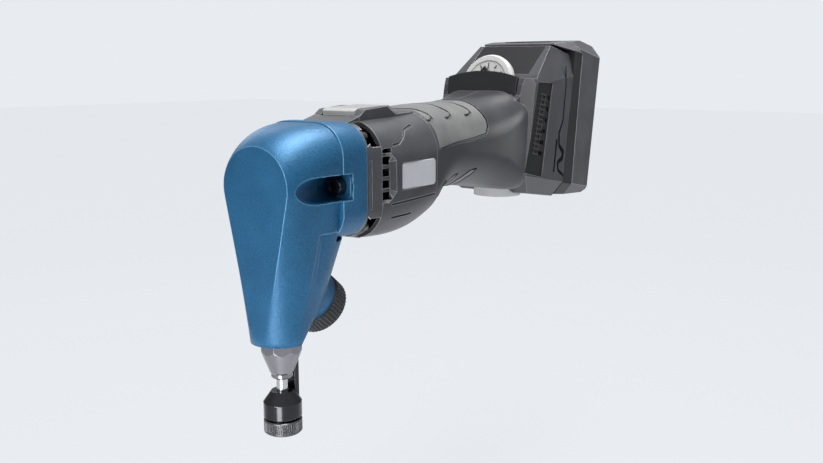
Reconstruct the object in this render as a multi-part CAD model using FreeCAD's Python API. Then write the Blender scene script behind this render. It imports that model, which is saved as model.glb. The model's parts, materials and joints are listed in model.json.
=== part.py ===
"""Cordless nibbler, built piece by piece, one STEP file per piece.

Units are millimetres. The origin lies on the punch axis, on the lower face of the die's
lock ring. +Z points up the punch axis, +X runs from the head back to the battery, and the
tool is symmetric about y = 0 apart from small trim.
"""
import FreeCAD, Part
from FreeCAD import Vector as V
import math
import os

os.makedirs("parts", exist_ok=True)

# ---------------------------------------------------------------- driving dimensions
GAP = 0.3            # between covers that meet
RUN = 0.05           # radial clearance of a running fit
WALL = 2.6           # plastic housing wall
SIDE_WALL = 4.0      # side walls of the foot, with their ledges

HEAD_Z = 143.5       # centre of the round top of the head
MOTOR_Z = 156.0      # motor shaft
GEAR_MODULE = 0.7
PINION_TEETH = 10
GEAR_TEETH = 50
PROFILE_SHIFT = 0.41
CRANK_Z = MOTOR_Z - GEAR_MODULE * (PINION_TEETH + GEAR_TEETH) / 2
STROKE = 6.0
ROD_LENGTH = 28.0
PIN_R = 2.5          # wrist pin
CRANK_PIN_Z = CRANK_Z + STROKE / 2
WRIST_Z = CRANK_PIN_Z - ROD_LENGTH

DIE_FACE_Z = 1.9     # drawn height of the die's lower face, saved as z = 0
LIP_Z = 56.2         # lower rim of the head
LIP_R = 17.2
FACE_X = -17.5       # flat front of the head
SEAM_X = 20.0        # front casting meets the flange ring
RING_X = 40.6        # flange ring meets the collar
COLLAR_X = 51.6      # collar meets the motor case
CASE_X = 107.0       # motor case meets the handle

DIE_R = 11.0         # die carrier and lock ring
LOCK_RING_H = 8.1
KNURLS = 60
CARRIER_Z = 10.9
SHEET_Z = 26.6       # sheet gap, lower and upper
SHEET_TOP_Z = 34.4
SHANK_ACROSS = 22.8  # octagon, across flats
SHANK_TOP_Z = 92.0
PUNCH_R = 3.3
DIE_SEAT_R = 6.0
RAM_END_Z = 54.0     # lower end of the ram, stroke up
RAM_R = 6.5
SLEEVE_R = 12.2

KNOB_POS = V(31.3, 0, 71.4)
KNOB_TILT = 40.0
KNOB_R = 17.5
KNOB_H = 12.0
KNOB_RIBS = 48

CLAMP_R = 4.0

SCREW_SEAT_X = 28.0  # head screws
SCREW_Y_AXIS = 21.6
SCREW_Z = 142.6
POCKET_R = 7.4
LUG_X = 31.0
CHAMBER_R = 15.2
RING_BOTTOM = 112.0
COLLAR_SCREWS = [(y, z) for y in (-22.5, 22.5) for z in (117.5, 168.5)]

PLATE_X = 42.4       # gearbox plate
FAN_X = 54.0
BULKHEAD_X = 101.6   # rear wall of the motor case, holds the rear bearing
STATOR_R = 18.6
SHAFT_R = 2.5
BEARING_R = 9.5
BOSS_R = 12.4        # bearing boss on the gearbox plate
DECK_HALF = 17.4     # raised deck round the slide switch
SWITCH_HALF = 12.0
SWITCH_Z = 180.2
ROD_Z = 177.0        # underside of the switch rod
SHELF_Z = 165.0
LABEL_Y = 35.45
VENT_COUNT = 5
VENT_Z = 132.2
VENT_PITCH = 6.85
LABEL_X = (68.3, 104.3)
LABEL_Z = (137.0, 153.0)

TILT = 9.6           # the foot and the battery lean back
SEAT_POS = V(284.9, 0, 117.0)   # foot coordinates start on the face that the battery meets
CELL_R = 9.0
CELL_LENGTH = 65.0
CELL_ROWS = 5
CELL_PITCH = 2 * CELL_R + 1.5
BATTERY_WALL = 3.0
BATTERY_HALF = CELL_LENGTH / 2 + BATTERY_WALL + 2.5
BATTERY_BACK = GAP + 2 * BATTERY_WALL + 2 * CELL_PITCH + 7.0
BATTERY_TOP = 2 * BATTERY_WALL + CELL_ROWS * CELL_PITCH + 14.5
RAIL_TOP = BATTERY_TOP - 12.0
CELL_Z = BATTERY_WALL + 0.5 + CELL_PITCH / 2
BLADES = (-12, -4, 4, 12)
FOOT_HALF = BATTERY_HALF - 0.5

DIAL_POS = V(-67.4, 0, 70.8)    # foot coordinates
DIAL_LEAN = 80.0
DIAL_R = 21.0
DIAL_T = 6.0
SLOPE_LOW = V(-55.7, 0, 78.5)   # ends of the sloped panel behind the dial
SLOPE_HIGH = V(-30.7, 0, 104.5)
STEM_R = 2.0
POT_R = 7.0
HOOD_X = -72.6       # back of the hood
HOOD_T = 3.4
HOOD_HALF = FOOT_HALF - 8.5
COVER_T = 2.0
COVER_HALF = FOOT_HALF - 10.5
PAD_T = 1.8
GRILLE_Y = FOOT_HALF - 2.3
REST_R = 18.0
REST_POS = (247.6, 0, 112.0)
RAIL_NECK = 5.7      # how far the battery's rail reaches into the foot
RAIL_DEPTH = 9.7
SPLIT_LOW = 17.0     # slanted seam between the battery's halves
SPLIT_HIGH = 12.5
LIP_X = -24.0        # front of the battery's roof
BUTTON_X = -12.0
# screws of the handle: x, z and the depth y of their seats
HANDLE_SCREWS = [(128.0, 150.0, 22.0), (190.0, 150.0, 22.0), (249.0, 192.0, 26.0),
                 (245.0, 123.5, 22.0)]


# ---------------------------------------------------------------- helpers
def cyl(radius, start, axis, length):
    return Part.makeCylinder(radius, length, V(*start), V(*axis))


def tube(outer, inner, start, axis, length):
    return cyl(outer, start, axis, length).cut(cyl(inner, start, axis, length))


def box(x0, x1, y0, y1, z0, z1):
    return Part.makeBox(x1 - x0, y1 - y0, z1 - z0, V(x0, y0, z0))


def polygon(points):
    return Part.Face(Part.makePolygon(points + [points[0]]))


def prism_y(points, y0, y1, grow=0.0):
    """Outline in x and z, stretched along y. Grow moves every side of it outwards."""
    face = polygon([V(x, y0, z) for x, z in points])
    if grow:
        face = face.makeOffset2D(grow, 2)
    return face.extrude(V(0, y1 - y0, 0))


def prism_x(points, x0, x1):
    return polygon([V(x0, y, z) for y, z in points]).extrude(V(x1 - x0, 0, 0))


def turned(points, pos, axis):
    """Solid of revolution: points are (radius, height) along the axis from pos."""
    face = polygon([V(r, 0, h) for r, h in points])
    solid = face.revolve(V(0, 0, 0), V(0, 0, 1), 360)
    solid.Placement = FreeCAD.Placement(V(*pos), FreeCAD.Rotation(V(0, 0, 1), V(*axis)))
    return solid


def both_sides(shape):
    return shape.fuse(shape.mirror(V(0, 0, 0), V(0, 1, 0)))


def foot_frame(shape):
    """From foot coordinates (x towards the battery, z up its rails) to the tool."""
    shape = shape.copy()
    frame = FreeCAD.Placement(SEAT_POS, FreeCAD.Rotation(V(0, 1, 0), TILT))
    shape.Placement = frame.multiply(shape.Placement)
    return shape


def beyond(p, q, r, inner):
    """Large block on the side of the plane through p, q and r that is away from inner."""
    normal = (q - p).cross(r - p)
    normal.normalize()
    if normal.dot(inner - p) > 0:
        normal = normal * -1
    block = Part.makeBox(400, 400, 100, V(-200, -200, 0))
    block.Placement = FreeCAD.Placement(p, FreeCAD.Rotation(V(0, 0, 1), normal))
    return block


def ribbon(points, width):
    """Outline of a line of constant width through points (x, z)."""
    left, right = [], []
    for i, (x, z) in enumerate(points):
        x0, z0 = points[max(i - 1, 0)]
        x1, z1 = points[min(i + 1, len(points) - 1)]
        half = width / 2 / math.hypot(x1 - x0, z1 - z0)
        left.append((x - (z1 - z0) * half, z + (x1 - x0) * half))
        right.append((x + (z1 - z0) * half, z - (x1 - x0) * half))
    return left + right[::-1]


def corner_arc(x, y, z, radius, side, up, from_top):
    """Quarter circle across the tool, centred at (y, z), towards side and up (each 1 or -1)."""
    c = math.sqrt(0.5)
    points = [V(x, y, z + up * radius), V(x, y + side * radius * c, z + up * radius * c),
              V(x, y + side * radius, z)]
    if not from_top:
        points.reverse()
    return Part.Arc(*points).toShape()


def rounded_wire(x, half, z0, z1, r_top, r_bottom):
    """Rounded rectangle across the tool at x, symmetric about y = 0."""
    t, b = r_top, r_bottom
    return Part.Wire([
        Part.makeLine(V(x, -half + t, z1), V(x, half - t, z1)),
        corner_arc(x, half - t, z1 - t, t, 1, 1, True),
        Part.makeLine(V(x, half, z1 - t), V(x, half, z0 + b)),
        corner_arc(x, half - b, z0 + b, b, 1, -1, False),
        Part.makeLine(V(x, half - b, z0), V(x, -half + b, z0)),
        corner_arc(x, -half + b, z0 + b, b, -1, -1, True),
        Part.makeLine(V(x, -half, z0 + b), V(x, -half, z1 - t)),
        corner_arc(x, -half + t, z1 - t, t, -1, 1, False)])


def body_loft(sections, inset=0.0):
    """Loft of rounded sections along x. Inset makes the matching hollow."""
    wires = []
    for x, half, z0, z1, r_top, r_bottom in sections:
        wires.append(rounded_wire(x, half - inset, z0 + inset, z1 - inset,
                                  r_top - inset, r_bottom - inset))
    return Part.makeLoft(wires, True, False)


def half_of(shape, side):
    y0, y1 = (GAP / 2, 80) if side > 0 else (-80, -GAP / 2)
    return shape.common(box(90, 400, y0, y1, 60, 280))


def socket_screw(pos, axis, thread_r, head_r, head_h, length):
    """Cap screw: head outside pos, thread along the axis from pos."""
    a = V(*axis)
    head_start = V(*pos) - a * head_h
    screw = Part.makeCylinder(head_r, head_h, head_start, a)
    screw = screw.fuse(Part.makeCylinder(thread_r, length, V(*pos), a))
    side = a.cross(V(0, 0, 1)) if abs(a.z) < 0.9 else V(1, 0, 0)
    side.normalize()
    up = a.cross(side)
    corner = head_r * 0.58
    points = [head_start + side * (corner * math.cos(math.radians(60 * i)))
              + up * (corner * math.sin(math.radians(60 * i))) for i in range(6)]
    return screw.cut(polygon(points).extrude(a * (head_h * 0.6)))


def save(name, shape):
    shape = shape.copy()
    shape.translate(V(0, 0, -DIE_FACE_Z))
    solids = shape.Solids
    shape = solids[0] if len(solids) == 1 else Part.makeCompound(solids)
    shape.exportStep("parts/" + name + ".step")


# ---------------------------------------------------------------- gear pair
def involute_gear(teeth, shift, width, pos, phase):
    """Spur gear with profile shift, its axis along x, a tooth centred at the phase angle."""
    pitch = GEAR_MODULE * teeth / 2
    base = pitch * math.cos(math.radians(20))
    tip = pitch + GEAR_MODULE * (1 + shift)
    root = pitch + GEAR_MODULE * (shift - 1.25)
    half_tooth = (math.pi / 2 + 2 * shift * math.tan(math.radians(20))) / teeth - 0.0015
    inv = lambda r: math.tan(math.acos(base / r)) - math.acos(base / r)
    inv_pitch = math.tan(math.radians(20)) - math.radians(20)
    start = max(base, root)
    points = []
    for i in range(teeth):
        centre = phase + 2 * math.pi * i / teeth
        flank = []
        for k in range(5):
            r = start + (tip - start) * k / 4
            angle = half_tooth + inv_pitch - (inv(r) if r > base else 0)
            flank.append((r, angle))
        if root < base:
            flank.insert(0, (root, flank[0][1]))
        points += [(r, centre - a) for r, a in flank]
        points += [(r, centre + a) for r, a in reversed(flank)]
    x, z = pos
    face = polygon([V(x, r * math.cos(a), z + r * math.sin(a)) for r, a in points])
    return face.extrude(V(width, 0, 0))


# ---------------------------------------------------------------- head
def drop_wire(x, half, top, corner, foot):
    """Head section at x: rounded top corners and sides that taper to a narrow foot."""
    foot_z = 45.0
    cy, cz = half - corner, top - corner
    dy, dz = foot - cy, foot_z - cz
    reach = math.hypot(dy, dz)
    normal = math.atan2(dz, dy) + math.acos(corner / reach)
    mid = (math.pi / 2 + normal) / 2
    p = lambda a: (cy + corner * math.cos(a), cz + corner * math.sin(a))
    ty, tz = p(normal)
    my, mz = p(mid)
    return Part.Wire([
        Part.makeLine(V(x, -cy, top), V(x, cy, top)),
        Part.Arc(V(x, cy, top), V(x, my, mz), V(x, ty, tz)).toShape(),
        Part.makeLine(V(x, ty, tz), V(x, foot, foot_z)),
        Part.makeLine(V(x, foot, foot_z), V(x, -foot, foot_z)),
        Part.makeLine(V(x, -foot, foot_z), V(x, -ty, tz)),
        Part.Arc(V(x, -ty, tz), V(x, -my, mz), V(x, -cy, top)).toShape()])


RING_SECTIONS = [  # x, half width, bottom, top, top and bottom corner radius
    (SEAM_X - 1, 30.5, RING_BOTTOM + 0.3, 178.4, 20.0, 16.0),
    (30.0, 31.2, RING_BOTTOM + 0.3, 178.4, 19.0, 16.0),
    (RING_X + 1, 31.4, RING_BOTTOM + 0.3, 177.4, 18.0, 16.0),
]

COLLAR_SECTIONS = [
    (RING_X, 31.0, 111.0, 177.0, 18.0, 18.0),
    (COLLAR_X, 34.0, 108.5, 178.0, 20.0, 20.0),
]
CASE_SECTIONS = [
    (COLLAR_X + GAP, 34.0, 108.5, 178.0, 22.0, 22.0),
    (66.0, 36.2, 107.5, 178.5, 24.0, 24.0),
    (88.0, 36.2, 108.0, 179.5, 25.0, 25.0),
    (CASE_X, 35.6, 112.2, 181.5, 26.0, 26.0),
]
HANDLE_SECTIONS = [
    (CASE_X + GAP, 35.6, 112.4, 181.5, 26.0, 26.0),
    (120.0, 34.0, 119.5, 183.5, 26.0, 25.0),
    (136.0, 31.8, 127.0, 184.6, 26.0, 25.0),
    (162.0, 31.4, 128.0, 185.2, 26.0, 25.0),
    (184.0, 32.4, 126.5, 186.4, 26.0, 24.0),
    (204.0, 35.0, 123.0, 189.0, 24.0, 22.0),
    (216.0, 36.6, 120.5, 191.5, 22.0, 18.0),
    (236.0, 34.0, 120.5, 192.0, 20.0, 16.0),
]

HEAD_SECTIONS = [  # x, half width, top, corner radius, half width of the foot
    (FACE_X, 23.3, HEAD_Z + 23.3, 22.8, 2.0),
    (-9.0, 26.6, 173.0, 24.5, 13.0),
    (4.0, 29.0, 176.6, 23.0, 18.0),
    (SEAM_X, 30.3, 177.8, 20.0, 19.5),
    (46.0, 31.0, 178.0, 19.0, 19.5),
]


def knob_axis():
    a = math.radians(KNOB_TILT)
    return V(math.cos(a), 0, -math.sin(a))


def head_outer():
    flare = Part.makeLoft([drop_wire(*s) for s in HEAD_SECTIONS], True, False)
    flare = flare.cut(box(-60, 80, -60, 60, 0, LIP_Z))
    cone = Part.makeCone(LIP_R, LIP_R + 0.145 * 130, 130, V(0, 0, LIP_Z), V(0, 0, 1))
    lean = V(17, 0, 66.5)
    length = lean.Length
    lean.normalize()
    skew = Part.makeCone(LIP_R - 2.2, 30.0, length + 30, V(0, 0, LIP_Z) - lean * 10, lean)
    upper = box(-40, 60, -50, 50, RING_BOTTOM + 6, 200)
    outer = flare.common(cone.fuse(skew).fuse(upper))
    # creased facets that run down the rear corners
    facet = beyond(V(30, -31, 117), V(9, -19, 72), V(46, -13, 104), V(0, 0, 110))
    return outer.cut(both_sides(facet))


def screw_pocket(x_end):
    """Scoop in the flank for a socket screw, deeper towards its rear end."""
    slope = (SCREW_Y_AXIS - 32.75) / 35
    start = V(22, -SCREW_Y_AXIS, SCREW_Z)
    tip = V(-13, -32.75, SCREW_Z)
    axis = tip - start
    scoop = Part.makeCylinder(POCKET_R, axis.Length, start, axis)
    outline = [V(22, -SCREW_Y_AXIS, SCREW_Z - POCKET_R), V(-13, -32.75, SCREW_Z - POCKET_R),
               V(-13, -45, SCREW_Z - POCKET_R), V(22, -45, SCREW_Z - POCKET_R)]
    open_side = polygon(outline).extrude(V(0, 0, 2 * POCKET_R))
    seat = cyl(POCKET_R, (14, -SCREW_Y_AXIS, SCREW_Z), (1, 0, 0), x_end - 14)
    seat_side = box(14, x_end, -45, -SCREW_Y_AXIS, SCREW_Z - POCKET_R, SCREW_Z + POCKET_R)
    return scoop.fuse(open_side).fuse(seat).fuse(seat_side)


def gear_head():
    head = head_outer()
    head = head.cut(box(SEAM_X, 80, -60, 60, RING_BOTTOM, 200))
    d = knob_axis()
    seat = KNOB_POS - d * (KNOB_H / 2 + 0.4)
    boss = Part.makeCylinder(16.6, 26, seat - d * 26, d)
    boss = boss.cut(box(SEAM_X, 80, -60, 60, RING_BOTTOM, 200)).cut(box(-60, 4, -60, 60, 0, 200))
    head = head.fuse(boss)
    head = head.cut(Part.makeCylinder(KNOB_R + 1.0, 30, seat, d))
    lug = cyl(POCKET_R + 1.8, (SEAM_X - 2, -SCREW_Y_AXIS, SCREW_Z), (1, 0, 0), LUG_X - SEAM_X + 2)
    lug = lug.cut(box(0, 40, -60, -29.6, 0, 300))
    head = head.fuse(both_sides(lug))
    head = head.cut(both_sides(screw_pocket(SCREW_SEAT_X)))
    head = head.cut(both_sides(cyl(3.3, (10, -SCREW_Y_AXIS, SCREW_Z), (1, 0, 0), 30)))
    # hollow: crank chamber, bearing seat, rod well, sleeve bore and the clamp thread
    head = head.cut(cyl(CHAMBER_R, (-13.0, 0, CRANK_Z), (1, 0, 0), 24.4))
    head = head.cut(cyl(12.0, (0, 0, CRANK_Z), (1, 0, 0), 40))
    head = head.cut(box(-10.5, 10.5, -13, 13, SHANK_TOP_Z - 1.0, CRANK_Z))
    head = head.cut(cyl(SLEEVE_R + RUN, (0, 0, LIP_Z - 1), (0, 0, 1), SHANK_TOP_Z - LIP_Z + 1))
    head = head.cut(Part.makeCylinder(CLAMP_R, 60, seat - d * 36, d))
    return head


def head_flange():
    outer = body_loft(RING_SECTIONS)
    outer = outer.common(box(SEAM_X + GAP, RING_X, -60, 60, 0, 300))
    outer = outer.cut(both_sides(screw_pocket(SCREW_SEAT_X)))
    outer = outer.cut(both_sides(cyl(POCKET_R + 1.95, (SEAM_X - 2, -SCREW_Y_AXIS, SCREW_Z),
                                     (1, 0, 0), LUG_X + GAP - SEAM_X + 2)))
    outer = outer.cut(both_sides(cyl(3.0, (10, -SCREW_Y_AXIS, SCREW_Z), (1, 0, 0), 40)))
    outer = outer.cut(cyl(12.5, (0, 0, CRANK_Z), (1, 0, 0), 40))
    outer = outer.cut(cyl(19.4, (LUG_X + GAP, 0, CRANK_Z), (1, 0, 0), 20))
    outer = outer.cut(cyl(8.0, (LUG_X + GAP, 0, MOTOR_Z), (1, 0, 0), 20))
    for y, z in COLLAR_SCREWS:
        outer = outer.cut(cyl(2.0, (30, y, z), (1, 0, 0), 20))
    return outer


def head_screws():
    return both_sides(socket_screw((SCREW_SEAT_X, -SCREW_Y_AXIS, SCREW_Z), (1, 0, 0),
                                   3.0, 5.0, 6.0, 11.5))


# ---------------------------------------------------------------- crank drive
def crank_shaft():
    shaft = cyl(6.0, (9.0, 0, CRANK_Z), (1, 0, 0), 30.0)
    shaft = shaft.fuse(cyl(4.0, (39.0, 0, CRANK_Z), (1, 0, 0), 8.0))
    shaft = shaft.fuse(cyl(13.0, (5.0, 0, CRANK_Z), (1, 0, 0), 5.5))
    shaft = shaft.cut(box(4, 10.6, -14, 14, CRANK_Z + 9, CRANK_Z + 14))
    return shaft.fuse(cyl(4.0, (-5.0, 0, CRANK_PIN_Z), (1, 0, 0), 11.0))


def crank_gear():
    gear = involute_gear(GEAR_TEETH, -PROFILE_SHIFT, 6.0, (32.3, CRANK_Z), math.pi / 2)
    gear = gear.fuse(cyl(9.0, (27.0, 0, CRANK_Z), (1, 0, 0), 6.0))
    for i in range(6):
        a = math.radians(60 * i + 30)
        gear = gear.cut(cyl(2.6, (20, 12.2 * math.cos(a), CRANK_Z + 12.2 * math.sin(a)),
                            (1, 0, 0), 30))
    return gear.cut(cyl(6.0, (20, 0, CRANK_Z), (1, 0, 0), 30))


def con_rod():
    rod = cyl(10.0, (-4.0, 0, CRANK_PIN_Z), (1, 0, 0), 8.0)
    rod = rod.fuse(cyl(2 * PIN_R, (-4.0, 0, WRIST_Z), (1, 0, 0), 8.0))
    web = prism_x([(-4.6, WRIST_Z), (4.6, WRIST_Z), (8, CRANK_PIN_Z), (-8, CRANK_PIN_Z)], -3.0, 3.0)
    rod = rod.fuse(web)
    rod = rod.cut(cyl(6.5, (-5.0, 0, CRANK_PIN_Z), (1, 0, 0), 10.0))
    return rod.cut(cyl(PIN_R, (-5.0, 0, WRIST_Z), (1, 0, 0), 10.0))


def eccentric_bearing():
    return tube(6.5, 4.0 + RUN, (-4.0, 0, CRANK_PIN_Z), (1, 0, 0), 8.0)


def wrist_pin():
    return cyl(PIN_R, (-7.2, 0, WRIST_Z), (1, 0, 0), 14.4)


def crank_bearings():
    front = tube(12.0, 6.0 + RUN, (12.0, 0, CRANK_Z), (1, 0, 0), 7.5)
    rear = tube(9.5, 4.0 + RUN, (41.4, 0, CRANK_Z), (1, 0, 0), 5.0)
    return front.fuse(rear)


def ram():
    """Punch holder: its fork is slotted round the wrist pin, so the drive stays open there."""
    reach = STROKE + PIN_R + GAP
    body = cyl(RAM_R, (0, 0, RAM_END_Z), (0, 0, 1), WRIST_Z - RAM_END_Z)
    fork = box(-7.2, 7.2, -8.2, 8.2, WRIST_Z - reach - 2.0, WRIST_Z + reach + 2.0)
    body = body.fuse(fork)
    body = body.cut(box(-4.3, 4.3, -9, 9, WRIST_Z - STROKE - 2 * PIN_R - 0.4, WRIST_Z + 40))
    side = STROKE / 2 + PIN_R + GAP
    body = body.cut(box(-9, 9, -side, side, WRIST_Z - reach, WRIST_Z + reach))
    return body.cut(cyl(PUNCH_R + 1.0, (0, 0, 40), (0, 0, 1), RAM_END_Z + 14 - 40))


def punch():
    stem = cyl(PUNCH_R, (0, 0, 14.0), (0, 0, 1), RAM_END_Z - 13.0)
    head = cyl(PUNCH_R + 1.0, (0, 0, RAM_END_Z), (0, 0, 1), 14.0)
    return stem.fuse(head)


# ---------------------------------------------------------------- die set
def guide_sleeve():
    """Octagonal shank with a turned nose; it carries the die and turns in the head."""
    r = SHANK_ACROSS / 2 / math.cos(math.radians(22.5))
    points = [V(r * math.cos(math.radians(45 * i + 22.5)),
                r * math.sin(math.radians(45 * i + 22.5)), SHEET_TOP_Z) for i in range(8)]
    octagon = polygon(points).extrude(V(0, 0, LIP_Z - 0.3 - SHEET_TOP_Z))
    nose = turned([(0, 0), (5.6, 0), (6.2, 0.8), (6.2, 2.6), (6.9, 3.6), (r + 0.1, 17.6),
                   (r + 0.1, 30), (0, 30)], (0, 0, SHEET_TOP_Z), (0, 0, 1))
    shank = octagon.common(nose)
    stem_z = LIP_Z - 4.0
    groove = SHANK_TOP_Z - 7.5 - stem_z
    stem = turned([(0, 0), (10.8, 0), (10.8, 3.0), (SLEEVE_R, 4.0), (SLEEVE_R, groove),
                   (10.2, groove + 2.0), (10.2, groove + 4.0), (SLEEVE_R, groove + 6.0),
                   (SLEEVE_R, groove + 7.5), (0, groove + 7.5)], (0, 0, stem_z), (0, 0, 1))
    shank = shank.fuse(stem)
    shank = shank.cut(cyl(RAM_R + RUN, (0, 0, RAM_END_Z - STROKE - 1.5), (0, 0, 1), 60))
    shank = shank.cut(cyl(PUNCH_R + RUN, (0, 0, 20), (0, 0, 1), 40))
    return shank.cut(guide_bar(0.05))


def guide_bar(grow):
    bar = box(7.0 - grow, 11.0 + grow, -3.4 - grow, 3.4 + grow, CARRIER_Z + 6, LIP_Z - 4.0 + grow)
    return bar.common(cyl(11.0 + grow, (0, 0, 0), (0, 0, 1), 60))


def die_carrier():
    body = turned([(0, 0), (DIE_R - 0.8, 0), (DIE_R, 0.8), (DIE_R, 9.2), (6.4, SHEET_Z - CARRIER_Z),
                   (0, SHEET_Z - CARRIER_Z)], (0, 0, CARRIER_Z), (0, 0, 1))
    thread = cyl(DIE_R - 1.8, (0, 0, DIE_FACE_Z + 1.2), (0, 0, 1), CARRIER_Z - DIE_FACE_Z - 1.0)
    body = body.fuse(thread).fuse(guide_bar(0.0))
    body = body.cut(cyl(DIE_SEAT_R, (0, 0, 0), (0, 0, 1), DIE_FACE_Z + 14.0))
    return body.cut(cyl(PUNCH_R + 0.15, (0, 0, 0), (0, 0, 1), 30))


def die():
    return tube(DIE_SEAT_R, PUNCH_R + 0.1, (0, 0, DIE_FACE_Z + 1.4), (0, 0, 1), 12.4)


def lock_ring():
    ring = turned([(0, 0), (DIE_R - 0.9, 0), (DIE_R, 0.9), (DIE_R, LOCK_RING_H - 0.6),
                   (DIE_R - 0.6, LOCK_RING_H), (0, LOCK_RING_H)], (0, 0, DIE_FACE_Z), (0, 0, 1))
    ring = ring.cut(cyl(DIE_R - 1.8 + RUN, (0, 0, DIE_FACE_Z + 1.15), (0, 0, 1), 10))
    ring = ring.cut(cyl(5.0, (0, 0, -1), (0, 0, 1), 10))
    return ring.cut(Part.makeCompound([knurl_notch(i) for i in range(KNURLS)]))


def knurl_notch(i):
    """V-shaped notch across the lock ring's rim."""
    notch = polygon([V(DIE_R - 0.45, 0, 0), V(DIE_R + 0.3, -0.5, 0), V(DIE_R + 0.3, 0.5, 0)])
    notch = notch.extrude(V(0, 0, LOCK_RING_H - 2.4))
    notch.translate(V(0, 0, DIE_FACE_Z + 1.4))
    notch.rotate(V(0, 0, 0), V(0, 0, 1), 360 * i / KNURLS)
    return notch


def clamp_knob():
    d = knob_axis()
    start = KNOB_POS - d * (KNOB_H / 2)
    disc = turned([(0, 0), (KNOB_R - 1.2, 0), (KNOB_R, 1.2), (KNOB_R, KNOB_H - 1.5),
                   (KNOB_R - 1.5, KNOB_H), (0, KNOB_H)], (start.x, 0, start.z), (d.x, d.y, d.z))
    side = V(0, 1, 0)
    up = d.cross(side)
    grooves = []
    for i in range(KNOB_RIBS):
        a = 2 * math.pi * i / KNOB_RIBS
        c = start + side * (KNOB_R * math.cos(a)) + up * (KNOB_R * math.sin(a))
        grooves.append(Part.makeCylinder(0.75, KNOB_H, c, d))
    disc = disc.cut(Part.makeCompound(grooves))
    return disc.cut(Part.makeCylinder(CLAMP_R, KNOB_H - 2, start, d))


def clamp_bolt():
    """Set screw on the knob; its dog point sits in the shank's groove."""
    d = knob_axis()
    start = KNOB_POS + d * (KNOB_H / 2 - 2)
    bolt = Part.makeCylinder(CLAMP_R, 25.0, start - d * 25.0, d)
    point = Part.makeCylinder(CLAMP_R / 2, 5.0, start - d * 29.2, d)
    return bolt.fuse(point)


# ---------------------------------------------------------------- motor
def corner_block(y, z, x0, x1, inner):
    """Block that reaches outwards from inside a collar screw, used to notch the corners."""
    side = 1 if y > 0 else -1
    up = 1 if z > HEAD_Z else -1
    ys = sorted((y - side * inner, y + side * 20))
    zs = sorted((z - up * inner, z + up * 20))
    return box(x0, x1, ys[0], ys[1], zs[0], zs[1])


def collar():
    """Ring that ties the gear head to the motor case, with a screw pocket at each corner."""
    outer = body_loft(COLLAR_SECTIONS)
    outer = outer.fuse(prism_y([(RING_X, 172), (RING_X, 177.2), (COLLAR_X, 180.2),
                                (COLLAR_X, 172)], -DECK_HALF, DECK_HALF))
    outer = outer.common(box(RING_X + GAP, COLLAR_X, -60, 60, 0, 300))
    outer = outer.cut(box(PLATE_X - GAP, COLLAR_X + 1, -30.6, 30.6, 114.6, 173.0))
    outer = outer.cut(cyl(BOSS_R + GAP, (30, 0, CRANK_Z), (1, 0, 0), 40))
    outer = outer.cut(cyl(8.0, (30, 0, MOTOR_Z), (1, 0, 0), 40))
    for y, z in COLLAR_SCREWS:
        outer = outer.cut(cyl(2.1, (30, y, z), (1, 0, 0), 30))
        outer = outer.cut(corner_block(y, z, 44.4, 60, 5))
    outer = outer.cut(both_sides(box(43.0, 44.2, -40, -31.6, 128.0, 156.0)))
    return outer.cut(both_sides(cyl(3.0, (30, SCREW_Y_AXIS, SCREW_Z), (1, 0, 0), 40)))


def gearbox_plate():
    plate = body_loft([(PLATE_X, 30.0, 115.2, 172.4, 15.0, 13.0),
                       (PLATE_X + 4.6, 30.0, 115.2, 172.4, 15.0, 13.0)])
    boss = cyl(BOSS_R, (PLATE_X - 2, 0, CRANK_Z), (1, 0, 0), 6.6)
    plate = plate.fuse(boss.cut(box(0, PLATE_X, -20, 20, MOTOR_Z - 10, 200)))
    for z in (CRANK_Z, MOTOR_Z):
        plate = plate.cut(cyl(BEARING_R, (30, 0, z), (1, 0, 0), 40))
    for y, z in COLLAR_SCREWS:
        plate = plate.cut(corner_block(y, z, 30, 60, 6))
    return plate.cut(both_sides(cyl(3.0, (30, SCREW_Y_AXIS, SCREW_Z), (1, 0, 0), 40)))


def collar_screws():
    screws = [socket_screw((44.4, y, z), (-1, 0, 0), 2.0, 3.6, 4.0, 11.0)
              for y, z in COLLAR_SCREWS]
    return Part.makeCompound(screws)


def motor_shaft():
    return cyl(SHAFT_R, (31.5, 0, MOTOR_Z), (1, 0, 0), BULKHEAD_X + 5.5 - 31.5)


def pinion():
    gear = involute_gear(PINION_TEETH, PROFILE_SHIFT, 7.0, (31.9, MOTOR_Z),
                         -math.pi / 2 + math.pi / PINION_TEETH)
    return gear.cut(cyl(SHAFT_R, (20, 0, MOTOR_Z), (1, 0, 0), 40))


def motor_bearings():
    front = tube(BEARING_R, SHAFT_R + RUN, (PLATE_X, 0, MOTOR_Z), (1, 0, 0), 4.6)
    rear = tube(8.0, SHAFT_R + RUN, (BULKHEAD_X, 0, MOTOR_Z), (1, 0, 0), 5.0)
    return front.fuse(rear)


def fan():
    disc = tube(17.0, SHAFT_R, (FAN_X + 5.5, 0, MOTOR_Z), (1, 0, 0), 1.2)
    hub = tube(5.0, SHAFT_R, (FAN_X, 0, MOTOR_Z), (1, 0, 0), 6.7)
    blades = []
    for i in range(11):
        blade = box(FAN_X + 0.5, FAN_X + 5.6, 4.5, 16.8, -0.6, 0.6)
        blade.rotate(V(0, 0, 0), V(1, 0, 0), 360 * i / 11)
        blade.translate(V(0, 0, MOTOR_Z))
        blades.append(blade)
    return disc.fuse(hub).fuse(blades)


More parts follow.
